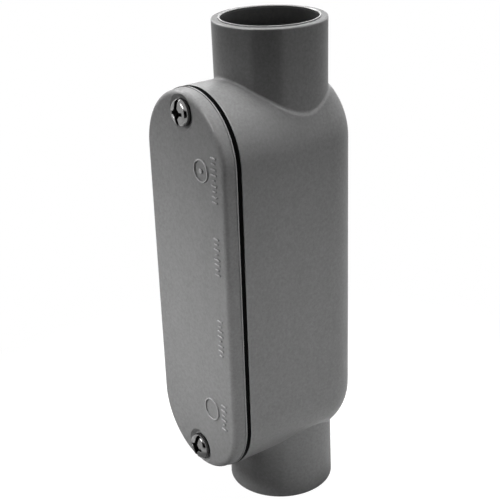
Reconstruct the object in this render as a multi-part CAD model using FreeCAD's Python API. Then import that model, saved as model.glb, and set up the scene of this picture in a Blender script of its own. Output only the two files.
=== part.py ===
import FreeCAD, Part
import math
import os

from FreeCAD import Vector

# Straight-through conduit body, trade size 1 inch (metric designator 27), moulded in rigid PVC.
# The run of conduit goes along Z. The origin is on the hub axis, in the mouth of the lower hub.
# The open front, with its gasket and cover, faces -Y. All sizes are in millimetres.

# Run and hubs
total_length = 181.3
conduit_diameter = 33.4
socket_clearance = 0.1
socket_depth = 22.2
mouth_chamfer = 0.25
mouth_lip_width = 0.65
mouth_lip_height = 0.35
hub_mouth_radius = 19.85
hub_root_radius = 19.5
hub_edge_round = 0.4
stop_ledge = 3.4
throat_radius = 13.3
throat_flare = 1.6

# Trough of the housing
body_half_width = 23.57
body_half_span = 48.35
rim_depth = 30.7
back_depth = 22.48
back_round = 14.4
wall = 3.2
cavity_draft = 0.4
hub_blend = 0.9
rim_edge_break = 0.35

# Cover screws
screw_inset = 7.65
screw_shank_radius = 2.4
screw_length = 12.7
screw_point = 0.9
thread_clearance = 0.05
tip_room = 1.8
head_radius = 4.75
head_height = 3.45
head_crown = 0.5
head_edge_round = 1.9
slot_width = 1.25
slot_depth = 1.8
cross_arm = 2.65
cross_width = 1.2
cross_depth = 2.2
cross_floor = 0.45
slot_angles = {"upper": 92.0, "lower": 82.0}

# Bosses for the screws
boss_radius = 5.2
boss_depth = 14.6

# Gasket
gasket_thickness = 1.83
gasket_inset = 0.22
gasket_land = 4.4
gasket_lug_radius = 5.6
gasket_hole_clearance = 0.15

# Cover
cover_set_back = 0.07
cover_thickness = 4.95
cover_draft = 0.7
cover_edge_round = 2.0
cover_bead = 0.2
cover_bead_height = 0.45
cover_wall = 2.4
cover_rim_width = 3.2
cover_boss_radius = 5.8
cover_hole_clearance = 0.3
seat_depth = 1.0
seat_clearance = 0.45
seat_flare = 1.4

# Worked out from the sizes above
mid_height = total_length / 2
socket_radius = conduit_diameter / 2 + socket_clearance
end_reach = body_half_span + body_half_width
inner_end = mid_height - body_half_span
cover_half_width = body_half_width - cover_set_back
screw_offset = end_reach - screw_inset
screw_heights = {"upper": mid_height + screw_offset, "lower": mid_height - screw_offset}
rim_y = -rim_depth
gasket_front_y = rim_y - gasket_thickness
cover_front_y = gasket_front_y - cover_thickness
seat_y = cover_front_y + seat_depth
ledge_top = socket_depth + stop_ledge
overcut = 1.0


def stadium(y, radius):
    """Round-ended outline in a plane of constant y, centred on the middle of the run."""
    top = mid_height + body_half_span
    bottom = mid_height - body_half_span
    edges = [
        Part.Arc(
            Vector(radius, y, top), Vector(0, y, top + radius), Vector(-radius, y, top)
        ).toShape(),
        Part.LineSegment(Vector(-radius, y, top), Vector(-radius, y, bottom)).toShape(),
        Part.Arc(
            Vector(-radius, y, bottom), Vector(0, y, bottom - radius), Vector(radius, y, bottom)
        ).toShape(),
        Part.LineSegment(Vector(radius, y, bottom), Vector(radius, y, top)).toShape(),
    ]
    return Part.Wire(edges)


def straight_block(y_a, y_b, radius):
    """Round-ended block with square sides between two planes of constant y."""
    return Part.Face(stadium(y_a, radius)).extrude(Vector(0, y_b - y_a, 0))


def drafted_block(y_a, radius_a, y_b, radius_b):
    """Round-ended block whose side leans from one outline to the other."""
    return Part.makeLoft([stadium(y_a, radius_a), stadium(y_b, radius_b)], True, True)


def edges_in_plane(shape, y):
    """Edges that lie in the plane at y."""
    found = []
    for edge in shape.Edges:
        box = edge.BoundBox
        if abs(box.YMin - y) < 1e-4 and abs(box.YMax - y) < 1e-4:
            found.append(edge)
    return found


def turned(points):
    """Solid of revolution about the hub axis from (radius, height) corners."""
    corners = [Vector(radius, 0, height) for radius, height in points]
    profile = Part.Face(Part.makePolygon(corners + corners[:1]))
    return profile.revolve(Vector(0, 0, 0), Vector(0, 0, 1), 360)


def flipped(shape):
    """The same shape turned end for end about the middle of the run."""
    twin = shape.copy()
    twin.rotate(Vector(0, 0, mid_height), Vector(0, 1, 0), 180)
    return twin


def bar(radius, y_a, y_b, height):
    """Round bar parallel to Y between two planes, on the centre line at a height."""
    return Part.makeCylinder(radius, y_b - y_a, Vector(0, y_a, height), Vector(0, 1, 0))


def lug(radius, y_a, y_b, height, reach):
    """Round pad at a screw, run out towards the nearer end of the body by a reach."""
    low = height if height > mid_height else height - reach
    run_out = Part.makeBox(2 * radius, y_b - y_a, reach, Vector(-radius, y_a, low))
    return bar(radius, y_a, y_b, height).fuse(run_out)


def trough():
    """Outer form of the trough: square rim in front, large round along the back."""
    block = straight_block(rim_y, back_depth, body_half_width)
    block = block.makeFillet(back_round, edges_in_plane(block, back_depth))
    return block.makeFillet(rim_edge_break, edges_in_plane(block, rim_y))


def hub_barrel():
    """Lower hub with a low lip round its socket, drafted and run on into the trough's wall."""
    lip_radius = socket_radius + mouth_lip_width
    barrel = turned(
        [
            (0, 0),
            (lip_radius, 0),
            (lip_radius, mouth_lip_height),
            (hub_mouth_radius, mouth_lip_height),
            (hub_root_radius, inner_end),
            (0, inner_end),
        ]
    )
    mouth_edges = []
    for edge in barrel.Edges:
        box = edge.BoundBox
        if abs(box.XMax - hub_mouth_radius) < 1e-4 and box.ZLength < 1e-4:
            mouth_edges.append(edge)
    return barrel.makeFillet(hub_edge_round, mouth_edges)


def blend_hubs(shape):
    """Concave blend along the seam where each hub's drafted side runs into the trough."""
    seams = []
    for face in shape.Faces:
        if not isinstance(face.Surface, Part.Cone):
            continue
        for edge in face.Edges:
            if edge.BoundBox.ZLength > hub_edge_round and not edge.isSeam(face):
                seams.append(edge)
    return shape.makeFillet(hub_blend, seams)


def cavity():
    """Wiring space with a rounded floor, kept off the conduit stops and the bosses."""
    mouth_radius = body_half_width - wall
    floor_y = back_depth - wall
    space = drafted_block(rim_y, mouth_radius, floor_y, mouth_radius - cavity_draft)
    space = space.makeFillet(back_round - wall, edges_in_plane(space, floor_y))
    space = space.fuse(straight_block(rim_y - overcut, rim_y, mouth_radius))
    stop = turned([(0, 0), (hub_root_radius, 0), (hub_root_radius, ledge_top), (0, ledge_top)])
    kept = [stop, flipped(stop)]
    for height in screw_heights.values():
        kept.append(lug(boss_radius, rim_y - 2 * overcut, rim_y + boss_depth, height, screw_inset))
    return space.cut(kept)


def hub_bore():
    """Chamfered socket, conduit stop and flared throat of the lower hub."""
    start = Vector(0, 0, 0)
    corners = [
        start,
        Vector(socket_radius + mouth_chamfer, 0, 0),
        Vector(socket_radius, 0, mouth_chamfer),
        Vector(socket_radius, 0, socket_depth),
        Vector(throat_radius, 0, socket_depth),
        Vector(throat_radius, 0, ledge_top - throat_flare),
    ]
    flare_centre = corners[-1] + Vector(throat_flare, 0, 0)
    diagonal = throat_flare * math.sqrt(0.5)
    flare_middle = flare_centre + Vector(-diagonal, 0, diagonal)
    flare_end = flare_centre + Vector(0, 0, throat_flare)
    past_end = Vector(flare_end.x, 0, inner_end)
    edges = Part.makePolygon(corners).Edges
    edges.append(Part.Arc(corners[-1], flare_middle, flare_end).toShape())
    edges += Part.makePolygon([flare_end, past_end, Vector(0, 0, past_end.z), start]).Edges
    profile = Part.Face(Part.Wire(edges))
    return profile.revolve(Vector(0, 0, 0), Vector(0, 0, 1), 360)


def housing():
    """One moulding: trough, two hubs, conduit stops and screw bosses."""
    barrel = hub_barrel()
    outside = trough().fuse([barrel, flipped(barrel)]).removeSplitter().Solids[0]
    outside = blend_hubs(outside)
    bore = hub_bore()
    cuts = [cavity(), bore, flipped(bore)]
    pilot_radius = screw_shank_radius + thread_clearance
    pilot_floor_y = seat_y + screw_length + tip_room
    for height in screw_heights.values():
        cuts.append(bar(pilot_radius, rim_y - overcut, pilot_floor_y, height))
    return outside.cut(cuts)


def gasket():
    """Flat foam ring with a lug round each screw."""
    outer_radius = cover_half_width - gasket_inset
    inner_radius = outer_radius - gasket_land
    window = straight_block(gasket_front_y - overcut, rim_y + overcut, inner_radius)
    for height in screw_heights.values():
        window = window.cut(
            lug(gasket_lug_radius, gasket_front_y - 2 * overcut, rim_y + 2 * overcut, height, screw_inset)
        )
    ring = straight_block(gasket_front_y, rim_y, outer_radius).cut(window)
    hole_radius = screw_shank_radius + gasket_hole_clearance
    for height in screw_heights.values():
        ring = ring.cut(bar(hole_radius, gasket_front_y - overcut, rim_y + overcut, height))
    return ring


def cover():
    """Hollow-backed lid with drafted sides, rounded front edge and dished screw seats."""
    front_radius = cover_half_width - cover_draft
    lid = drafted_block(
        gasket_front_y, cover_half_width - cover_bead, cover_front_y, front_radius
    )
    lid = lid.makeFillet(cover_edge_round, edges_in_plane(lid, cover_front_y))
    bead = straight_block(gasket_front_y - cover_bead_height, gasket_front_y, cover_half_width)
    lid = lid.fuse(bead)
    pocket_radius = cover_half_width - cover_rim_width
    pocket_floor_y = cover_front_y + cover_wall
    pocket = straight_block(pocket_floor_y, gasket_front_y + overcut, pocket_radius)
    hole_radius = screw_shank_radius + cover_hole_clearance
    seat_radius = head_radius + seat_clearance
    cuts = []
    for height in screw_heights.values():
        pad_end_y = gasket_front_y + 2 * overcut
        pocket = pocket.cut(
            lug(cover_boss_radius, pocket_floor_y - overcut, pad_end_y, height, screw_inset)
        )
        cuts.append(bar(hole_radius, cover_front_y - overcut, gasket_front_y + overcut, height))
        slope = seat_flare / seat_depth
        cuts.append(
            Part.makeCone(
                seat_radius,
                seat_radius + slope * (seat_depth + overcut),
                seat_depth + overcut,
                Vector(0, seat_y, height),
                Vector(0, -1, 0),
            )
        )
    return lid.cut([pocket] + cuts)


def screw(height, slot_angle):
    """Combination pan-head machine screw, its thread drawn as a plain shank."""
    top_y = seat_y - head_height
    tip_y = seat_y + screw_length
    crown_edge = Vector(head_radius - head_edge_round, top_y + head_crown, 0)
    crown_middle = Vector(crown_edge.x / 2, top_y + head_crown / 4, 0)
    round_centre = crown_edge + Vector(0, head_edge_round, 0)
    diagonal = head_edge_round * math.sqrt(0.5)
    shoulder = round_centre + Vector(head_edge_round, 0, 0)
    shoulder_middle = round_centre + Vector(diagonal, -diagonal, 0)
    edges = [
        Part.Arc(Vector(0, top_y, 0), crown_middle, crown_edge).toShape(),
        Part.Arc(crown_edge, shoulder_middle, shoulder).toShape(),
    ]
    edges += Part.makePolygon(
        [
            shoulder,
            Vector(head_radius, seat_y, 0),
            Vector(screw_shank_radius, seat_y, 0),
            Vector(screw_shank_radius, tip_y - screw_point, 0),
            Vector(screw_shank_radius - screw_point, tip_y, 0),
            Vector(0, tip_y, 0),
            Vector(0, top_y, 0),
        ]
    ).Edges
    blank = Part.Face(Part.Wire(edges)).revolve(Vector(0, 0, 0), Vector(0, 1, 0), 360)
    slot = Part.makeBox(
        2 * head_radius + 2,
        slot_depth + overcut,
        slot_width,
        Vector(-head_radius - 1, top_y - overcut, -slot_width / 2),
    )
    lean = (cross_arm - cross_floor) / cross_depth
    reach = cross_arm + lean * overcut
    arm_corners = [
        Vector(-reach, top_y - overcut, -cross_width / 2),
        Vector(reach, top_y - overcut, -cross_width / 2),
        Vector(cross_floor, top_y + cross_depth, -cross_width / 2),
        Vector(-cross_floor, top_y + cross_depth, -cross_width / 2),
    ]
    arm = Part.Face(Part.makePolygon(arm_corners + arm_corners[:1]))
    arm = arm.extrude(Vector(0, 0, cross_width))
    other_arm = arm.copy()
    other_arm.rotate(Vector(0, 0, 0), Vector(0, 1, 0), 90)
    piece = blank.cut([slot, arm, other_arm])
    piece.rotate(Vector(0, 0, 0), Vector(0, -1, 0), slot_angle)
    piece.translate(Vector(0, 0, height))
    return piece


def single(shape):
    """The one solid of a result, or an error where an operation left more or none."""
    if len(shape.Solids) != 1:
        raise ValueError("expected one solid, found %d" % len(shape.Solids))
    return shape.Solids[0]


def main():
    pieces = {"housing": housing(), "gasket": gasket(), "cover": cover()}
    for end, height in screw_heights.items():
        pieces[end + "_cover_screw"] = screw(height, slot_angles[end])
    os.makedirs("parts", exist_ok=True)
    for name, shape in pieces.items():
        solid = single(shape)
        solid.exportStep("parts/" + name + ".step")
        print("%s: %.1f mm3, valid %s" % (name, solid.Volume, solid.isValid()))


main()
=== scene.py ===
import math

import bmesh
import bpy
from mathutils import Matrix, Vector, noise
from mathutils.bvhtree import BVHTree


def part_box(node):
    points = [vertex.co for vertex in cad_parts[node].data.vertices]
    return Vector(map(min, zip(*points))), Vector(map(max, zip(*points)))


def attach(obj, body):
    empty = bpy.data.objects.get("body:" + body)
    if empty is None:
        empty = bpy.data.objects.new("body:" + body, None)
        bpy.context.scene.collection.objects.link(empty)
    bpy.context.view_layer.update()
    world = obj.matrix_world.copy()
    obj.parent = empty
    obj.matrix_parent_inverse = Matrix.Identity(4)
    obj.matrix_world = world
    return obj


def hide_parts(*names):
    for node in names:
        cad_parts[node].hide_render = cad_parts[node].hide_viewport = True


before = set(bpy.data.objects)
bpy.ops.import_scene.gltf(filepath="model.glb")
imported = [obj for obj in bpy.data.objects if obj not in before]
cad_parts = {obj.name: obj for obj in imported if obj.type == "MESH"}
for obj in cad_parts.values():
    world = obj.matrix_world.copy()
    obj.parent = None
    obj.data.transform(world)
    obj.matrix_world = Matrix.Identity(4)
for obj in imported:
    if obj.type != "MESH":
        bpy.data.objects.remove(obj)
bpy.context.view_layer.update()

# A grey PVC conduit body with its gasket, cover and two screws, stood on a white table.
# Everything is in metres, so sizes below are written as so many mm.
mm = 0.001
print("frame loaded:", ", ".join(sorted(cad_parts)))


def addObject(name, data):
    made = bpy.data.objects.new(name, data)
    bpy.context.scene.collection.objects.link(made)
    return made


def middleOf(node):
    low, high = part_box(node)
    return (low + high) / 2


# Camera, at the photograph's viewing angle

cameraSettings = {
    "location": (302.995 * mm, -230.544 * mm, 259.925 * mm),
    "turn": 54.14,  # degrees round from looking along +Y
    "down": 23.37,
    "roll": -2.047,
    "lens": 81.45,
    "sensor": 36.0,
}


def makeCamera(settings):
    turn, down, roll = (math.radians(settings[key]) for key in ("turn", "down", "roll"))
    data = bpy.data.cameras.new("camera")
    data.lens = settings["lens"]
    data.sensor_width = settings["sensor"]
    camera = addObject("camera", data)
    level = Matrix.Rotation(turn, 4, "Z") @ Matrix.Rotation(math.pi / 2 - down, 4, "X")
    camera.matrix_world = (
        Matrix.Translation(settings["location"]) @ level @ Matrix.Rotation(roll, 4, "Z")
    )
    bpy.context.scene.camera = camera


makeCamera(cameraSettings)
print("camera placed")


# Shader building

class Sock:
    # one output socket, so that shader maths reads as plain Python
    def __init__(self, finish, socket):
        self.finish = finish
        self.socket = socket

    def __add__(self, other):
        return self.finish.maths("ADD", self, other)

    def __radd__(self, other):
        return self.finish.maths("ADD", other, self)

    def __sub__(self, other):
        return self.finish.maths("SUBTRACT", self, other)

    def __rsub__(self, other):
        return self.finish.maths("SUBTRACT", other, self)

    def __mul__(self, other):
        return self.finish.maths("MULTIPLY", self, other)

    def __rmul__(self, other):
        return self.finish.maths("MULTIPLY", other, self)

    def __abs__(self):
        return self.finish.maths("ABSOLUTE", self)


class Finish:
    # one shader tree; node() adds a node and returns one of its outputs as a Sock
    def __init__(self, owner):
        owner.use_nodes = True
        self.owner = owner
        self.tree = owner.node_tree
        self.tree.nodes.clear()

    def node(self, kind, settings=None, inputs=None, output=0):
        made = self.tree.nodes.new("ShaderNode" + kind)
        for key, value in (settings or {}).items():
            if key == "stops":
                self.setStops(made.color_ramp, value)
            else:
                setattr(made, key, value)
        for key, value in (inputs or {}).items():
            if isinstance(value, Sock):
                self.tree.links.new(value.socket, made.inputs[key])
            else:
                made.inputs[key].default_value = value
        return Sock(self, made.outputs[output]) if len(made.outputs) else None

    def setStops(self, ramp, stops):
        # a ramp starts with two stops, the rest are added
        while len(ramp.elements) < len(stops):
            ramp.elements.new(0.5)
        for element, (spot, level) in zip(ramp.elements, stops):
            element.position = spot
            element.color = grey(level)

    def maths(self, operation, *values):
        return self.node("Math", {"operation": operation}, dict(enumerate(values)))

    def vectorMaths(self, operation, *values, output="Vector"):
        settings = {"operation": operation}
        return self.node("VectorMath", settings, dict(enumerate(values)), output)

    def where(self):
        # a point's place in the part, in metres
        return self.node("TexCoord", output="Object")

    def along(self, where, axis):
        return self.node("SeparateXYZ", {}, {"Vector": where}, axis)

    def ramp(self, value, stops):
        return self.node("ValToRGB", {"stops": stops}, {"Fac": value})

    def between(self, value, none, full):
        # 0 at the first limit, 1 at the second
        limits = {"Value": value, "From Min": none, "From Max": full}
        return self.node("MapRange", {"interpolation_type": "SMOOTHSTEP"}, limits)

    def cloud(self, where, size, detail=2.0, roughness=0.5):
        # noise about 0.5 whose blobs are about that size
        values = {"Vector": where, "Scale": 1.0 / size, "Detail": detail, "Roughness": roughness}
        return self.node("TexNoise", {}, values)

    def blend(self, factor, colourA, colourB):
        # colour A where the factor is 0, colour B where it is 1
        values = {"Factor": factor, "A": colourA, "B": colourB}
        return self.node("Mix", {"data_type": "RGBA"}, values, "Result")

    def bump(self, height):
        return self.node("Bump", {}, {"Strength": 1.0, "Distance": 1.0, "Height": height})

    def surface(self, shader):
        self.node("OutputMaterial", {}, {"Surface": shader})
        return self.owner


def newMaterial(name):
    return Finish(bpy.data.materials.new(name))


def grey(level, warmth=0.0):
    return (level * (1.0 + warmth), level, level * (1.0 - warmth), 1.0)


# Rigid PVC of the housing and the cover

housingPlastic = {
    "level": 0.2,
    "mottle": 0.06,  # share by which the grey wanders over the part
    "mottleSize": 12 * mm,
    "speckle": 0.3,
    "speckleSize": 1.0 * mm,
    "roughness": 0.46,
    "roughnessSpread": 0.1,
    "peelSize": 0.9 * mm,
    "peelHeight": 0.005 * mm,
    "grainSize": 0.22 * mm,
    "grainHeight": 0.0025 * mm,
    "scuffs": 0.12,  # how much paler, smoother and deeper the rubbed streaks are
    "scuffSmooth": 0.08,
    "scuffDepth": 0.004 * mm,
    "streakSize": 0.5 * mm,
    "streakSquash": (1.0, 1.0, 0.12),  # draws the streaks out along the part
    "streakStops": [(0.6, 0.0), (0.72, 1.0)],
    "patchSize": 11 * mm,  # the streaks come in patches
    "patchStops": [(0.52, 0.0), (0.66, 1.0)],
    "specular": 0.07,
    "sheen": 0.16,  # the smooth skin that the mould leaves
    "sheenRoughness": 0.18,
    "sheenIor": 2.0,
    "sheenWander": 0.2,  # how far the mottling changes the sheen, and scuffs take it away
    "sheenScuff": 0.5,
    "edge": 0.35 * mm,  # how far a painted edge highlight reaches, how much paler and shinier it makes the edge
    "edgePaler": 0.45,
    "edgeSheen": 0.5,
    "edgeCore": 0.4,  # share of the reach that gets the full painted highlight
    "edgeSteady": 0.4,  # the paler grey's share everywhere, and what the mottling adds
    "edgePatchy": 1.2,
}
coverPlastic = dict(
    housingPlastic, level=0.205, mottle=0.09, peelHeight=0.006 * mm, grainHeight=0.003 * mm
)

# painted light on the hubs: painted shade, darker deeper in each socket and on the flat ring
# round each mouth, and a painted highlight, slightly paler and shinier, along the blend where a
# hub meets the body. Radii are from the hub's middle line and depths from the top of the mouth's
# lip; a pair goes from none of it to all
hubPaintedLight = {
    # painted shade, darker deeper in each socket and on the flat ring round each mouth
    "dustAndShade": {"radii": (18.7 * mm, 18.5 * mm), "depths": (1.0 * mm, 13 * mm), "share": 0.9},
    "ring": {
        "radii": (19.7 * mm, 19.4 * mm),
        "depth": 0.35 * mm,
        "away": (0.14 * mm, 0.056 * mm),
        "share": 0.3,
    },
    # painted highlight along the blend where a hub meets the body
    "blend": {
        "inner": (19.82 * mm, 19.9 * mm),
        "outer": (20.7 * mm, 20.4 * mm),
        "depths": (20 * mm, 22 * mm),
        "paler": 0.03,
        "sheen": 0.5,
    },
}


def paintedEdgeHighlight(finish, where, planes, settings):
    # painted highlight along edges: 1 on the given planes across an axis, falling to 0 at the
    # reach
    reach = settings["edge"]
    edgeHighlight = 0.0
    for axis, level in planes:
        away = abs(finish.along(where, axis) - level)
        near = finish.between(away, reach, reach * settings["edgeCore"])
        edgeHighlight = finish.maths("MAXIMUM", edgeHighlight, near)
    return edgeHighlight


def scuffing(finish, where, settings):
    # faint rubbed streaks that lie along the part
    stretched = finish.node("Mapping", {}, {"Vector": where, "Scale": settings["streakSquash"]})
    streaks = finish.cloud(stretched, settings["streakSize"], detail=3.0, roughness=0.65)
    patches = finish.cloud(where, settings["patchSize"], detail=1.0)
    inPatches = finish.ramp(patches, settings["patchStops"])
    return finish.ramp(streaks, settings["streakStops"]) * inPatches


def hubPlace(finish, where):
    # distance from the hubs' middle line, which the origin lies on, and depth behind a mouth
    low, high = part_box("housing")
    height = finish.along(where, "Z")
    depth = finish.maths("MINIMUM", high.z - height, height - low.z)
    flat = finish.node("Mapping", {}, {"Vector": where, "Scale": (1.0, 1.0, 0.0)})
    return finish.vectorMaths("LENGTH", flat, output="Value"), depth


def paintedSocketShade(finish, radius, depth, dustAndShade, ring):
    # painted shade: darker deeper in the socket, and on the flat ring round the mouth
    inside = finish.between(radius, *dustAndShade["radii"]) * finish.between(depth, *dustAndShade["depths"])
    onRing = finish.between(abs(depth - ring["depth"]), *ring["away"])
    onRing = onRing * finish.between(radius, *ring["radii"])
    return finish.maths("MAXIMUM", inside * dustAndShade["share"], onRing * ring["share"])


def seamHighlightBand(finish, radius, depth, blend):
    # the band along the blend where a hub meets the body, which gets a painted highlight
    band = finish.between(radius, *blend["inner"]) * finish.between(radius, *blend["outer"])
    return band * finish.between(depth, *blend["depths"])


def mouldedPvc(name, settings, planes, paintedHubLight=None):
    finish = newMaterial(name)
    where = finish.where()
    edgeHighlight = paintedEdgeHighlight(finish, where, planes, settings)
    scuff = scuffing(finish, where, settings)
    mottle = finish.cloud(where, settings["mottleSize"], detail=3.0)
    speckle = finish.cloud(where, settings["speckleSize"], detail=3.0, roughness=0.7)
    peel = finish.cloud(where, settings["peelSize"], detail=1.0)
    grain = finish.cloud(where, settings["grainSize"])

    # plastic grey: both noises pull it a little up or down
    wander = mottle * (2 * settings["mottle"]) + speckle * (2 * settings["speckle"])
    spread = settings["mottle"] + settings["speckle"]
    share = wander * (0.5 / spread) + scuff * settings["scuffs"]
    level = settings["level"]
    colour = finish.blend(share, grey(level * (1 - spread)), grey(level * (1 + spread)))
    # painted highlight along the listed edges: paler here, and shinier through the coat below
    paler = grey(level * (1 + settings["edgePaler"]))
    patchy = settings["edgeSteady"] + mottle * settings["edgePatchy"]
    colour = finish.blend(edgeHighlight * patchy, colour, paler)

    # the smooth skin, then the hubs' painted shade and painted highlight over both
    sheenWander = settings["sheenWander"]
    skin = 1 + sheenWander / 2 - scuff * settings["sheenScuff"] - mottle * sheenWander
    skin = settings["sheen"] * skin
    if paintedHubLight:
        radius, depth = hubPlace(finish, where)
        dustAndShade = paintedSocketShade(finish, radius, depth, paintedHubLight["dustAndShade"], paintedHubLight["ring"])
        blend = seamHighlightBand(finish, radius, depth, paintedHubLight["blend"])
        # painted highlight along the blend where a hub meets the body: a little paler, shinier
        # through the coat
        colour = finish.blend(blend * paintedHubLight["blend"]["paler"], colour, grey(2 * level))
        # painted shade in the sockets and on the mouths' flat rings, which also takes the coat
        # away there
        colour = finish.blend(dustAndShade, colour, grey(0.0))
        skin = skin * (1.0 - dustAndShade) + blend * paintedHubLight["blend"]["sheen"]

    roughSpread = settings["roughnessSpread"]
    rough = settings["roughness"] + (mottle - 0.5) * roughSpread + (peel - 0.5) * roughSpread
    rough = rough - scuff * settings["scuffSmooth"]
    height = peel * settings["peelHeight"] + grain * settings["grainHeight"]
    height = height - scuff * settings["scuffDepth"]
    plastic = finish.node(
        "BsdfPrincipled",
        {},
        {
            "Base Color": colour,
            "Roughness": rough,
            "Specular IOR Level": settings["specular"],
            "Coat Weight": skin + edgeHighlight * settings["edgeSheen"],
            "Coat Roughness": settings["sheenRoughness"],
            "Coat IOR": settings["sheenIor"],
            "Normal": finish.bump(height),
        },
    )
    return finish.surface(plastic)


def dress(node, material):
    # gives a CAD node its finish, with its own shape left as it is
    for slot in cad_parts[node].material_slots:
        slot.material = material


mouthEdgeDepth = 0.7 * mm  # of the mouth's outer edge, behind the top of its lip
markHeight = 0.5 * mm  # of the raised marks on the cover
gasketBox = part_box("gasket")
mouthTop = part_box("housing")[1].z
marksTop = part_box("cover")[0].y - markHeight

# painted edge highlights, paler and shinier: the housing's rim, and the lip and outer edge of its
# upper mouth; the cover's rim, and the tops of its raised marks
housingEdges = [("Y", gasketBox[1].y), ("Z", mouthTop), ("Z", mouthTop - mouthEdgeDepth)]
coverEdges = [("Y", gasketBox[0].y), ("Y", marksTop)]
housingFinish = mouldedPvc("housing_pvc", housingPlastic, housingEdges, hubPaintedLight)
coverFinish = mouldedPvc("cover_pvc", coverPlastic, coverEdges)
dress("housing", housingFinish)
dress("cover", coverFinish)
print("housing and cover dressed")


# Meshes

weldDistance = 0.0002 * mm
sharpAngle = 34  # degrees from which an edge is shaded as sharp


def newMesh(name, vertices, faces):
    mesh = bpy.data.meshes.new(name)
    mesh.from_pydata([tuple(point) for point in vertices], [], faces)
    return mesh


def tidyNormals(mesh):
    shape = bmesh.new()
    shape.from_mesh(mesh)
    bmesh.ops.remove_doubles(shape, verts=shape.verts, dist=weldDistance)
    bmesh.ops.recalc_face_normals(shape, faces=shape.faces)
    shape.to_mesh(mesh)
    shape.free()


def solidMesh(name, vertices, faces):
    mesh = newMesh(name, vertices, faces)
    mesh.validate()
    tidyNormals(mesh)
    return mesh


def finalMesh(holder):
    # an object's mesh, with its modifiers or its curve's thickness worked out
    bpy.context.view_layer.update()
    worked = holder.evaluated_get(bpy.context.evaluated_depsgraph_get())
    return bpy.data.meshes.new_from_object(worked)


def place(name, body, material, mesh):
    piece = addObject(name, mesh)
    mesh.materials.clear()
    mesh.materials.append(material)
    mesh.shade_smooth()
    mesh.set_sharp_from_angle(angle=math.radians(sharpAngle))
    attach(piece, body)
    return piece


def ringAt(y, radius, count, x=0.0, z=0.0):
    # points round a circle that faces the front
    turns = (2 * math.pi * k / count for k in range(count))
    return [Vector((x + radius * math.cos(t), y, z + radius * math.sin(t))) for t in turns]


def tube(rings, closed=False):
    # skins a row of rings with as many points each; open rows get end caps
    count = len(rings[0])
    vertices = [point for ring in rings for point in ring]
    faces = []
    rows = len(rings)
    for row in range(rows if closed else rows - 1):
        here, after = row * count, (row + 1) % rows * count
        for k in range(count):
            k2 = (k + 1) % count
            faces.append((here + k, here + k2, after + k2, after + k))
    if not closed:
        faces.append(tuple(range(count)))
        faces.append(tuple(range((rows - 1) * count, rows * count)))
    return vertices, faces


def merged(parts):
    # several (vertices, faces) pairs as one
    vertices, faces = [], []
    for someVertices, someFaces in parts:
        start = len(vertices)
        vertices += list(someVertices)
        faces += [tuple(start + index for index in face) for face in someFaces]
    return vertices, faces


# Mould parting line, a fine ridge down both sides of the housing

partingLine = {
    "y": 0.6 * mm,
    "width": 0.3 * mm,
    "height": 0.025 * mm,
    "section": ((-0.5, 0.0), (-0.22, 0.75), (0.0, 1.0), (0.22, 0.75), (0.5, 0.0)),
    "wobble": 0.5,  # share by which the height varies, and how many times a metre
    "wobbleRate": 90,
    "sunk": 0.1 * mm,
    "step": 0.5 * mm,
    "endGap": 0.9 * mm,
    "castFrom": 100 * mm,  # rays from this far out find the wall
}


def partingRidge(side, settings):
    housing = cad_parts["housing"].data
    surface = BVHTree.FromPolygons(
        [v.co for v in housing.vertices], [p.vertices for p in housing.polygons]
    )
    low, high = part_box("housing")
    bottom = low.z + settings["endGap"]
    top = high.z - settings["endGap"]
    steps = round((top - bottom) / settings["step"])
    line = []
    for k in range(steps + 1):
        height = bottom + (top - bottom) * k / steps
        start = Vector((side * settings["castFrom"], settings["y"], height))
        line.append(surface.ray_cast(start, Vector((-side, 0, 0)))[0])
    rings = []
    for k, point in enumerate(line):
        along = (line[min(k + 1, steps)] - line[max(k - 1, 0)]).normalized()
        out = Vector((side * along.z, 0, -side * along.x))
        wobble = 1.0 + settings["wobble"] * noise.noise(point * settings["wobbleRate"])
        ring = []
        for across, rise in settings["section"]:
            shift = Vector((0, across * settings["width"], 0))
            ring.append(point + shift + out * rise * settings["height"] * wobble)
        ring.append(point - out * settings["sunk"])
        rings.append(ring)
    return tube(rings)


def makePartingLine(settings):
    ridges = merged([partingRidge(side, settings) for side in (-1, 1)])
    mesh = solidMesh("housing_parting_line", *ridges)
    place("housing_parting_line", "housing", housingFinish, mesh)


makePartingLine(partingLine)
print("parting line made")


# Raised moulding marks on the cover: two plain rings, and columns of plain dashes and pips

coverMarks = {
    "height": markHeight,
    "sunk": 0.05 * mm,
    "shoulder": 0.12 * mm,
    "shoulderFrom": 0.55,  # share of the height where the sides start to slope
    "ringWidth": 0.6 * mm,
    "ringSteps": 72,
    "endSteps": 8,
    "rings": (
        {"x": 10.2 * mm, "z": 137.3 * mm, "radius": 3.8 * mm},
        {"x": 9.4 * mm, "z": 46.6 * mm, "radius": 4.0 * mm},
    ),
    "pip": {"x": 10.2 * mm, "z": 137.3 * mm, "radius": 0.9 * mm},
    "strokeWidth": 0.62 * mm,
    "columns": (  # middle and lowest dash in mm, their pitch, and the length of each, going up
        {"x": 17.6, "z": 128.3, "pitch": 1.9, "dashes": "llmlsllml"},
        {"x": 17.3, "z": 102.3, "pitch": 1.85, "dashes": "lmllslml"},
        {"x": 17.1, "z": 71.4, "pitch": 1.9, "dashes": "mllsllml"},
        {"x": 16.9, "z": 41.6, "pitch": 1.9, "dashes": "lslmll"},
    ),
    "lengths": {"l": 2.9 * mm, "m": 2.0 * mm, "s": 1.2 * mm},
}


def markLevels(y, settings):
    # where a mark's foot, shoulder and top lie, along Y
    height = settings["height"]
    return y + settings["sunk"], y - height * settings["shoulderFrom"], y - height


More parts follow.
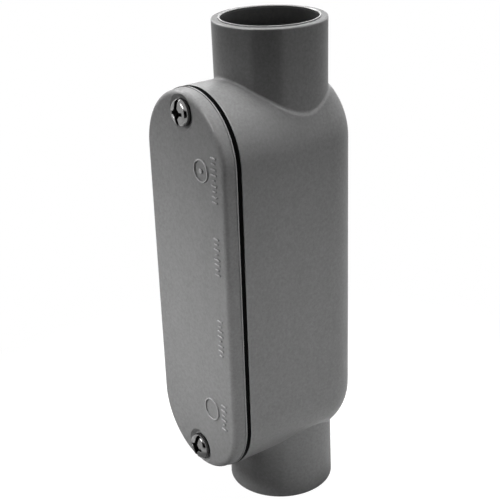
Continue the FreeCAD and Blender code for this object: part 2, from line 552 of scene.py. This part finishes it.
def raisedPad(outline, inner, y, settings):
    # closed pad from an outline in XZ: sunk foot, sloped side, flat top
    edges = zip((outline, outline, inner), markLevels(y, settings))
    return tube([[Vector((p.x, level, p.y)) for p in edge] for edge, level in edges])


def roundedBar(x, z, length, width, count):
    # outline of a bar along X with round ends
    points = []
    reach = max(0.0, length / 2 - width / 2)
    for end in (1, -1):
        for k in range(count + 1):
            angle = -math.pi / 2 + math.pi * k / count
            turn = Vector((math.cos(angle), math.sin(angle))) * width / 2
            points.append(Vector((x + end * (reach + turn.x), z + end * turn.y)))
    return points


def raisedRing(ring, y, settings):
    foot, shoulder, top = markLevels(y, settings)
    half = settings["ringWidth"] / 2
    flat = half - settings["shoulder"]
    section = ((-half, foot), (-half, shoulder), (-flat, top))
    section += ((flat, top), (half, shoulder), (half, foot))
    circles = [
        ringAt(level, ring["radius"] + out, settings["ringSteps"], ring["x"], ring["z"])
        for out, level in section
    ]
    return tube(circles, closed=True)


def makeCoverMarks(settings):
    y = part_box("cover")[0].y
    parts = [raisedRing(ring, y, settings) for ring in settings["rings"]]
    pip = settings["pip"]
    bars = [(pip["x"], pip["z"], 2 * pip["radius"], 2 * pip["radius"])]
    for column in settings["columns"]:
        for k, size in enumerate(column["dashes"]):
            z = (column["z"] + k * column["pitch"]) * mm
            bars.append((column["x"] * mm, z, settings["lengths"][size], settings["strokeWidth"]))
    shrink = 2 * settings["shoulder"]
    for x, z, length, width in bars:
        outline = roundedBar(x, z, length, width, settings["endSteps"])
        inner = roundedBar(x, z, length - shrink, width - shrink, settings["endSteps"])
        parts.append(raisedPad(outline, inner, y, settings))
    mesh = solidMesh("cover_mould_marks", *merged(parts))
    place("cover_mould_marks", "cover", coverFinish, mesh)


makeCoverMarks(coverMarks)
print("cover marks made")


# Foam gasket between rim and cover

foamGasket = {
    # black foam, painted darker still to stand for the shade it sits in between cover and housing
    "level": 0.003,
    "darkest": 0.5,  # shares of the level, in the foam's pores and on the dusty walls between
    "palest": 2.2,
    "dustSize": 2.5 * mm,
    "roughness": 0.86,
    "dustRoughness": 0.12,
    "specular": 0.02,
    "poreSize": 0.28 * mm,
    "poreDepth": 0.03 * mm,
    "bulge": 0.22 * mm,  # how far the squeezed foam stands out past its cut size
    "land": 4.4 * mm,
    "lugRadius": 5.6 * mm,
    "holeRadius": 2.55 * mm,
    "edgeRound": 0.42 * mm,
    "edgeSteps": 3,
    "waver": 0.15 * mm,  # how far the cut edge wanders
    "waverSize": 7 * mm,
    "waverLand": 0.6,  # share of the land that wanders with it
    "flutter": 0.6,  # a finer waver: how far and how fine, as shares of the first
    "flutterSize": 0.2,
    "steps": {"end": 70, "windowEnd": 24, "lug": 30, "hole": 32, "side": 90},
}


def gasketFoam(settings):
    finish = newMaterial("gasket_foam_black")
    where = finish.where()
    cells = finish.node("TexVoronoi", {}, {"Vector": where, "Scale": 1 / settings["poreSize"]})
    dustAndShade = finish.cloud(where, settings["dustSize"], detail=4.0)
    level = settings["level"]
    dark, pale = grey(level * settings["darkest"]), grey(level * settings["palest"])
    foam = finish.node(
        "BsdfPrincipled",
        {},
        {
            "Base Color": finish.blend(cells * dustAndShade, dark, pale),
            "Roughness": settings["roughness"] + dustAndShade * settings["dustRoughness"],
            "Specular IOR Level": settings["specular"],
            "Normal": finish.bump(cells * settings["poreDepth"]),
        },
    )
    return finish.surface(foam)


def arcPoints(centreZ, radius, fromAngle, toAngle, count):
    # points in XZ on an arc round the middle line, in degrees from +X towards +Z
    points = []
    for k in range(count + 1):
        angle = math.radians(fromAngle + (toAngle - fromAngle) * k / count)
        points.append((radius * math.cos(angle), centreZ + radius * math.sin(angle)))
    return points


def straightPoints(x, fromZ, toZ, count):
    return [(x, fromZ + (toZ - fromZ) * k / count) for k in range(1, count)]


def gasketOutlines(settings):
    low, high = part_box("gasket")
    halfWidth = (high.x - low.x) / 2
    top = high.z - halfWidth
    bottom = low.z + halfWidth
    radius = halfWidth + settings["bulge"]
    steps = settings["steps"]
    outer = arcPoints(top, radius, 0, 180, steps["end"])
    outer += straightPoints(-radius, top, bottom, steps["side"])
    outer += arcPoints(bottom, radius, 180, 360, steps["end"])
    outer += straightPoints(radius, bottom, top, steps["side"])

    # the window: round ends, each with a lug that runs in to the screw
    window = radius - settings["land"]
    lug = settings["lugRadius"]
    lean = math.degrees(math.acos(lug / window))
    upperScrew = middleOf("upper_cover_screw").z
    lowerScrew = middleOf("lower_cover_screw").z
    inner = arcPoints(top, window, 0, lean, steps["windowEnd"])
    inner += arcPoints(upperScrew, lug, 0, -180, steps["lug"])
    inner += arcPoints(top, window, 180 - lean, 180, steps["windowEnd"])
    inner += straightPoints(-window, top, bottom, steps["side"])
    inner += arcPoints(bottom, window, 180, 180 + lean, steps["windowEnd"])
    inner += arcPoints(lowerScrew, lug, 180, 0, steps["lug"])
    inner += arcPoints(bottom, window, 360 - lean, 360, steps["windowEnd"])
    inner += straightPoints(window, bottom, top, steps["side"])
    holes = [
        arcPoints(height, settings["holeRadius"], 0, 360, steps["hole"])[:-1]
        for height in (upperScrew, lowerScrew)
    ]
    return [outer, inner] + holes


def cutGasket(settings):
    # the foam between its outlines, with rounded edges, stood up in its place
    low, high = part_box("gasket")
    curve = bpy.data.curves.new("gasket_outline", "CURVE")
    curve.dimensions = "2D"
    curve.fill_mode = "BOTH"
    curve.extrude = (high.y - low.y) / 2 - settings["edgeRound"]
    curve.bevel_depth = settings["edgeRound"]
    curve.bevel_resolution = settings["edgeSteps"]
    curve.offset = -settings["edgeRound"]
    for outline in gasketOutlines(settings):
        spline = curve.splines.new("POLY")
        spline.points.add(len(outline) - 1)
        for point, (x, z) in zip(spline.points, outline):
            point.co = (x, z, 0, 1)
        spline.use_cyclic_u = True
    holder = addObject("gasket_outline", curve)
    mesh = finalMesh(holder)
    bpy.data.objects.remove(holder)
    mesh.name = "foam_gasket"
    upright = Matrix.Rotation(math.pi / 2, 4, "X")
    mesh.transform(Matrix.Translation((0, (low.y + high.y) / 2, 0)) @ upright)
    tidyNormals(mesh)
    return mesh


def waverEdge(mesh, settings):
    # the outer edge wanders, as cut foam does
    low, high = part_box("gasket")
    middle = (low.z + high.z) / 2
    radius = (high.x - low.x) / 2
    straight = (high.z - low.z) / 2 - radius
    steady = radius - settings["land"] * settings["waverLand"]
    fine = settings["flutterSize"] * settings["waverSize"]
    for vertex in mesh.vertices:
        coreZ = middle + max(-straight, min(straight, vertex.co.z - middle))
        out = vertex.co - Vector((0, vertex.co.y, coreZ))
        if out.length > steady:
            swing = noise.noise(vertex.co / settings["waverSize"])
            swing += settings["flutter"] * noise.noise(vertex.co / fine)
            vertex.co += out.normalized() * settings["waver"] * swing


def makeGasket(settings):
    mesh = cutGasket(settings)
    waverEdge(mesh, settings)
    gasket = place("foam_gasket", "cover", gasketFoam(settings), mesh)
    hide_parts("gasket")


makeGasket(foamGasket)
print("gasket made")


# Cover screws: pan heads with a slot and a cross, and a rolled thread

coverScrews = {
    "headRadius": 4.75 * mm,
    "headHeight": 3.45 * mm,
    "crown": 0.5 * mm,
    "crownSteps": 7,
    "headRound": 1.9 * mm,
    "roundSteps": 10,
    "footBreak": 0.2 * mm,
    "slotWidth": 1.75 * mm,
    "slotDepth": 1.8 * mm,
    "crossDepth": 2.2 * mm,  # a name that ends in Floor is the size before it, at this depth
    "crossArm": 3.9 * mm,
    "crossArmFloor": 1.2 * mm,
    "crossHalf": 0.7 * mm,
    "crossHalfFloor": 0.3 * mm,
    "pitReach": 2.9 * mm,
    "pitReachFloor": 0.8 * mm,
    "cutWeld": 0.001 * mm,
    "edgeAngle": 32,  # degrees from which a cut edge is broken, and by how much
    "edgeBreak": 0.09 * mm,
    "shankRadius": 2.4 * mm,
    "shankStart": 0.3 * mm,  # this far up inside the head
    "threadDepth": 0.62 * mm,
    "threadPitch": 25.4 / 24 * mm,
    "threadRows": 12,  # rows of points to each pitch
    "threadStart": 0.6 * mm,  # plain shank, after which the thread rises over the run-in
    "runIn": 0.8,  # of a pitch
    "crestTop": 1.35,  # both shape the thread's flank, which is cut off at 1, the crest,
    "crestSlope": 3.1,  # and at 0, the root
    "point": 0.9 * mm,
    "pointTaper": 0.45,
    "around": 72,
    "slotAngles": {"upper": 92.0, "lower": 82.0},
}
screwZinc = {
    "level": 0.25,
    "dull": 0.8,  # shares of the level where it is tarnished and where it is clean
    "clean": 1.06,
    "dullWarmth": 0.01,
    "cleanWarmth": 0.003,
    "roughness": 0.17,
    "tarnishSize": 1.6 * mm,
    "tarnishStops": [(0.3, 0.0), (0.7, 1.0)],
    "tarnishRoughness": 0.14,
    "tarnishHeight": 0.012 * mm,
    "fineSize": 0.12 * mm,
    "fineRoughness": 0.06,
    "fineHeight": 0.0016 * mm,
    "turningPitch": 0.14 * mm,  # fine rings round the head
    "turningHeight": 0.0009 * mm,
    # painted shade deep in the slot and cross and round the head's foot: its colour, and the
    # extra roughness
    "recessShadeLevel": 0.004,
    "recessShadeRoughness": 0.35,
    "recessShadeDown": [(0.03, 0.0), (0.3, 1.0)],  # mm below the head's own surface
    "recessShadeWithin": [(0.93, 1.0), (0.98, 0.0)],  # shares of the head's radius
    "recessShadeHead": [(0.78, 1.0), (0.88, 0.0)],  # shares of its height, and so is the next
    "recessShadeFoot": [(0.7, 0.0), (0.9, 1.0)],
    "footShare": 0.9,
}


def paintedRecessShade(finish, where, radius, top, settings, head):
    # painted shade: 0 on the open head, up to 1 well down in the slot and cross and round the
    # head's foot
    edge = head["headRound"]
    flat = head["headRadius"] - edge
    past = finish.maths("MAXIMUM", radius - flat, 0.0)
    share = finish.maths("MINIMUM", radius * (1 / flat), 1.0)
    arc = finish.maths("SQRT", edge * edge - past * past)
    surface = share * share * head["crown"] + edge - arc
    below = finish.along(where, "Y") - top
    depth = below * (1 / head["headHeight"])
    down = finish.ramp((below - surface) * (1 / mm), settings["recessShadeDown"])
    inside = finish.ramp(radius * (1 / head["headRadius"]), settings["recessShadeWithin"])
    inHead = finish.ramp(depth, settings["recessShadeHead"])
    foot = finish.ramp(depth, settings["recessShadeFoot"])
    return down * inside * inHead + foot * settings["footShare"] * (1.0 - inside)


def brightZinc(name, centre, top, settings, head):
    finish = newMaterial(name)
    where = finish.where()
    offset = finish.vectorMaths("SUBTRACT", where, (centre.x, 0.0, centre.z))
    flat = finish.vectorMaths("MULTIPLY", offset, (1.0, 0.0, 1.0))
    radius = finish.vectorMaths("LENGTH", flat, output="Value")
    turning = finish.maths("SINE", radius * (2 * math.pi / settings["turningPitch"]))
    tarnish = finish.cloud(where, settings["tarnishSize"], detail=4.0, roughness=0.6)
    fine = finish.cloud(where, settings["fineSize"])
    colour = finish.blend(
        finish.ramp(tarnish, settings["tarnishStops"]),
        grey(settings["level"] * settings["dull"], settings["dullWarmth"]),
        grey(settings["level"] * settings["clean"], settings["cleanWarmth"]),
    )
    # painted shade in the recess and round the head's foot
    recessShade = paintedRecessShade(finish, where, radius, top, settings, head)
    height = turning * settings["turningHeight"] + tarnish * settings["tarnishHeight"]
    height = height + fine * settings["fineHeight"]
    rough = settings["roughness"] + (tarnish - 0.5) * settings["tarnishRoughness"]
    rough = rough + (fine - 0.5) * settings["fineRoughness"]
    metal = finish.node(
        "BsdfPrincipled",
        {},
        {
            "Base Color": finish.blend(recessShade, colour, grey(settings["recessShadeLevel"])),
            "Metallic": 1.0,
            "Roughness": rough + recessShade * settings["recessShadeRoughness"],
            "Normal": finish.bump(height),
        },
    )
    return finish.surface(metal)


def headSolid(settings):
    # turned head with its top at y 0, and its seat at the head's height
    radius = settings["headRadius"]
    crown, crownSteps = settings["crown"], settings["crownSteps"]
    edge, roundSteps = settings["headRound"], settings["roundSteps"]
    flat = radius - edge
    profile = []
    for k in range(1, crownSteps + 1):
        profile.append((flat * k / crownSteps, crown * (k / crownSteps) ** 2))
    for k in range(1, roundSteps + 1):
        angle = math.pi / 2 * k / roundSteps
        profile.append((flat + edge * math.sin(angle), crown + edge * (1 - math.cos(angle))))
    foot = settings["footBreak"]
    height = settings["headHeight"]
    profile += [(radius, height - foot), (radius - foot, height)]
    profile.append((settings["shankRadius"] - settings["threadDepth"], height))
    return tube([ringAt(y, r, settings["around"]) for r, y in profile])


def block(corners):
    # closed solid with eight corners: four on top, four below
    faces = [(0, 1, 2, 3), (7, 6, 5, 4)]
    faces += [(k, k + 4, (k + 1) % 4 + 4, (k + 1) % 4) for k in range(4)]
    return corners, faces


def recessCutters(settings):
    over = 1 * mm
    half = settings["slotWidth"] / 2
    reach = settings["headRadius"] + over
    slot = block(
        [
            Vector((x, y, z))
            for y in (-over, settings["slotDepth"])
            for x, z in ((-reach, -half), (reach, -half), (reach, half), (-reach, half))
        ]
    )

    # the cross and the four-sided pit where its arms meet, both narrowing downwards
    past = over / settings["crossDepth"]
    levels = ((-over, 1 + past), (settings["crossDepth"], 0.0))
    rings = []
    for y, share in levels:
        arm, width, pit = (
            settings[key + "Floor"] + (settings[key] - settings[key + "Floor"]) * share
            for key in ("crossArm", "crossHalf", "pitReach")
        )
        quarter = ((arm, -width), (arm, width), (pit - width, width), (width, pit - width))
        ring = []
        for turn in range(4):
            for x, z in quarter:
                for _ in range(turn):
                    x, z = -z, x
                ring.append(Vector((x, y, z)))
        rings.append(ring)
    return [slot, tube(rings)]


def cutHead(settings):
    # the head with its recess cut, and the recess's edges broken
    head = addObject("head_blank", solidMesh("head_blank", *headSolid(settings)))
    cutters = [
        addObject("cutter", solidMesh("cutter", *shape)) for shape in recessCutters(settings)
    ]
    for cutter in cutters:
        boolean = head.modifiers.new("recess", "BOOLEAN")
        boolean.operation = "DIFFERENCE"
        boolean.solver = "EXACT"
        boolean.object = cutter
    mesh = finalMesh(head)
    for spare in [head] + cutters:
        bpy.data.objects.remove(spare)
    shape = bmesh.new()
    shape.from_mesh(mesh)
    bmesh.ops.remove_doubles(shape, verts=shape.verts, dist=settings["cutWeld"])
    leastAngle = math.radians(settings["edgeAngle"])
    convex = [edge for edge in shape.edges if edge.is_manifold and edge.is_convex]
    bmesh.ops.bevel(
        shape,
        geom=[edge for edge in convex if edge.calc_face_angle() > leastAngle],
        offset=settings["edgeBreak"],
        segments=2,
        profile=0.5,
        affect="EDGES",
        clamp_overlap=True,
    )
    bmesh.ops.recalc_face_normals(shape, faces=shape.faces)
    shape.to_mesh(mesh)
    shape.free()
    return mesh


def threadedShank(length, settings):
    # rolled thread from just inside the head to the point, one turn a pitch
    around = settings["around"]
    pitch = settings["threadPitch"]
    depth = settings["threadDepth"]
    start = settings["headHeight"] - settings["shankStart"]
    rows = round((length - start) / pitch * settings["threadRows"])
    rings = []
    for row in range(rows + 1):
        y = start + (length - start) * row / rows
        rise = (y - start - settings["threadStart"]) / (settings["runIn"] * pitch)
        runIn = min(1.0, max(0.0, rise))
        runOut = min(1.0, (length - y) / settings["point"])
        core = settings["shankRadius"] - depth
        core -= settings["pointTaper"] * settings["point"] * (1 - runOut)
        ring = []
        for k in range(around):
            phase = (y / pitch - k / around) % 1.0
            crest = settings["crestTop"] - settings["crestSlope"] * abs(phase - 0.5)
            radius = core + depth * min(1.0, max(0.0, crest)) * runIn * runOut
            angle = 2 * math.pi * k / around
            ring.append(Vector((radius * math.cos(angle), y, radius * math.sin(angle))))
        rings.append(ring)
    return tube(rings)


def makeScrew(end, settings):
    node = end + "_cover_screw"
    low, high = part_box(node)
    centre = middleOf(node)
    mesh = cutHead(settings)
    mesh.name = end + "_screw_threaded"
    shank = solidMesh("shank", *threadedShank(high.y - low.y, settings))
    shape = bmesh.new()
    shape.from_mesh(mesh)
    shape.from_mesh(shank)
    bpy.data.meshes.remove(shank)
    turn = Matrix.Rotation(math.radians(settings["slotAngles"][end]), 4, (0, -1, 0))
    shape.transform(Matrix.Translation((centre.x, low.y, centre.z)) @ turn)
    shape.to_mesh(mesh)
    shape.free()
    finish = brightZinc(end + "_screw_zinc", centre, low.y, screwZinc, settings)
    piece = place(end + "_screw_threaded", end + "_screw", finish, mesh)
    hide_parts(node)


for end in ("upper", "lower"):
    makeScrew(end, coverScrews)
print("screws made")


# Table, world and lamps

table = {
    "size": 6.0,
    "level": 0.58,
    "dim": {"middle": (-10 * mm, -38 * mm, 0.0), "level": 0.04, "from": 30 * mm, "to": 58 * mm},
    "clearFrom": 50 * mm,  # the floor's shadow shows up to here and is gone at clearTo
    "clearTo": 170 * mm,
    "shadowShare": 0.3,
    "mirroredShadowShare": 0.8,  # the same for what the part mirrors
    "lift": 1.42,  # glow of the floor near the part, which makes up for its shadow
}
worldLevel = 0.02  # how much the world lights the part; it looks white all the same


def isRay(finish, *names):
    # 1 for a ray of any of these kinds
    seen = 0.0
    for name in names:
        seen = finish.maths("MAXIMUM", seen, finish.node("LightPath", output=name))
    return seen


def panel(name, corners, shader):
    mesh = newMesh(name, corners, [(0, 1, 2, 3)])
    mesh.materials.append(shader)
    return addObject(name, mesh)


def makeTable(settings):
    finish = newMaterial("white_table")
    where = finish.where()
    fromPart = finish.vectorMaths("LENGTH", where, output="Value")
    far = finish.between(fromPart, settings["clearFrom"], settings["clearTo"])
    share = settings["shadowShare"]
    mirroredShare = settings["mirroredShadowShare"]
    seen = isRay(finish, "Is Camera Ray")
    mirrored = isRay(finish, "Is Glossy Ray", "Is Transmission Ray")
    glow = seen * (1 - share + far * share)
    glow = glow + mirrored * (1 - mirroredShare + far * mirroredShare)

    # the paper is painted darker just in front of the part: a painted shadow, which also dims the
    # light it throws up onto the lower hub
    dim = settings["dim"]
    fromDim = finish.vectorMaths("DISTANCE", where, dim["middle"], output="Value")
    clear = finish.between(fromDim, dim["from"], dim["to"])
    shade = finish.blend(clear, grey(dim["level"]), grey(settings["level"]))
    paper = finish.node("BsdfDiffuse", {}, {"Color": shade})
    colour = finish.blend(far, grey(settings["lift"]), grey(1.0))
    white = finish.node("Emission", {}, {"Color": colour, "Strength": 1.0})
    mixed = finish.node("MixShader", {}, {0: glow, 1: paper, 2: white})
    half = settings["size"] / 2
    corners = [(-half, -half, 0), (half, -half, 0), (half, half, 0), (-half, half, 0)]
    panel("table", corners, finish.surface(mixed))


def makeWorld(level):
    world = bpy.data.worlds.new("studio")
    bpy.context.scene.world = world
    finish = Finish(world)
    seen = isRay(finish, "Is Camera Ray", "Is Glossy Ray", "Is Transmission Ray")
    strength = seen * (1 - level) + level
    glow = finish.node("Background", {}, {"Color": grey(1.0), "Strength": strength})
    finish.node("OutputWorld", {}, {"Surface": glow})


def directionOf(turn, up):
    # a turn in degrees from straight ahead and a rise from level
    turn, up = math.radians(turn), math.radians(up)
    level = Vector((math.sin(turn), -math.cos(turn), 0)) * math.cos(up)
    return level + Vector((0, 0, math.sin(up)))


def hideFromAllButGloss(card):
    card.visible_camera = False
    card.visible_diffuse = False
    card.visible_shadow = False
    card.visible_transmission = False


# a black card in front of the part, which only reflections see: the dark band down the hub
darkCard = {"round": (17, 75), "distance": 300 * mm, "height": 250 * mm, "level": 0.004}


def makeDarkCard(settings):
    finish = newMaterial("black_card")
    black = finish.node("BsdfDiffuse", {}, {"Color": grey(settings["level"])})
    foot = [directionOf(turn, 0) * settings["distance"] for turn in settings["round"]]
    rise = Vector((0, 0, settings["height"]))
    corners = [foot[0], foot[1], foot[1] + rise, foot[0] + rise]
    hideFromAllButGloss(panel("black_card", corners, finish.surface(black)))


# strip softboxes that only reflections see: the soft highlights along the rounded edges.
# Each hangs between two directions, given as degrees round from straight ahead and up. Here
# and for the lamps, places and sizes are in mm
softStrips = {
    "front": {"ends": ((-16, 43), (18, 31)), "faces": (5, -15, 140), "width": 85, "glow": 14.0},
    "left": {"ends": ((-98, 28), (-72, 32)), "faces": (0, -10, 165), "width": 130, "glow": 9.0},
}
lampDistance = 420 * mm  # of softboxes and lamps, from the spot that they face


def makeSoftStrip(name, settings):
    finish = newMaterial(name + "_softbox")
    white = finish.node("Emission", {}, {"Color": grey(1.0), "Strength": settings["glow"]})
    faces = Vector(settings["faces"]) * mm
    start, end = (directionOf(turn, up) * lampDistance for turn, up in settings["ends"])
    across = (end - start).cross(start + end).normalized() * settings["width"] * mm / 2
    corners = [start - across, end - across, end + across, start + across]
    corners = [faces + corner for corner in corners]
    hideFromAllButGloss(panel(name + "_softbox", corners, finish.surface(white)))


# each lamp is a panel with a hood: "round" and "up" are degrees from straight ahead and from
# level, as seen from the spot that it faces; "spread" is how wide the hood lets light out
smallPanel = {"size": 120, "spread": 26}
lamps = {
    "overhead": {
        "at": (-60, 40, 550), "faces": (-12, 8, 100), "size": 320, "spread": 40, "glow": 1.68,
    },
    "backRim": {
        "round": -127, "up": 31, "faces": (0, 0, 170), "size": 260, "spread": 60, "glow": 0.3,
    },
    "frontRight": dict(smallPanel, round=-10, up=38, faces=(0, -15, 42), glow=0.8),
    "frontLeft": dict(smallPanel, round=-45, up=12, faces=(0, -15, 75), glow=0.66),
    "side": dict(smallPanel, round=110, up=12, faces=(0, -15, 70), glow=0.39),
    "sideBack": dict(smallPanel, round=135, up=12, faces=(0, -15, 80), glow=0.07),
    "sideHigh": dict(smallPanel, round=90, up=15, faces=(0, -15, 110), glow=0.09),
}
mirroredLamps = ("backRim",)  # the others light the part but don't show in its gloss


def makeLamp(name, settings):
    faces = Vector(settings["faces"]) * mm
    if "at" in settings:
        at = Vector(settings["at"]) * mm
    else:
        at = faces + directionOf(settings["round"], settings["up"]) * lampDistance
    data = bpy.data.lights.new(name, "AREA")
    data.shape = "SQUARE"
    data.size = settings["size"] * mm
    data.spread = math.radians(settings["spread"])
    data.energy = settings["glow"] * math.pi * data.size**2
    lamp = addObject(name, data)
    lamp.location = at
    lamp.rotation_mode = "QUATERNION"
    lamp.rotation_quaternion = (faces - at).to_track_quat("-Z", "Y")
    lamp.visible_glossy = name in mirroredLamps


makeTable(table)
makeWorld(worldLevel)
makeDarkCard(darkCard)
for stripName, stripSettings in softStrips.items():
    makeSoftStrip(stripName, stripSettings)
for lampName, lampSettings in lamps.items():
    makeLamp(lampName, lampSettings)
bpy.context.scene.view_settings.view_transform = "Standard"
print("table and lamps placed")
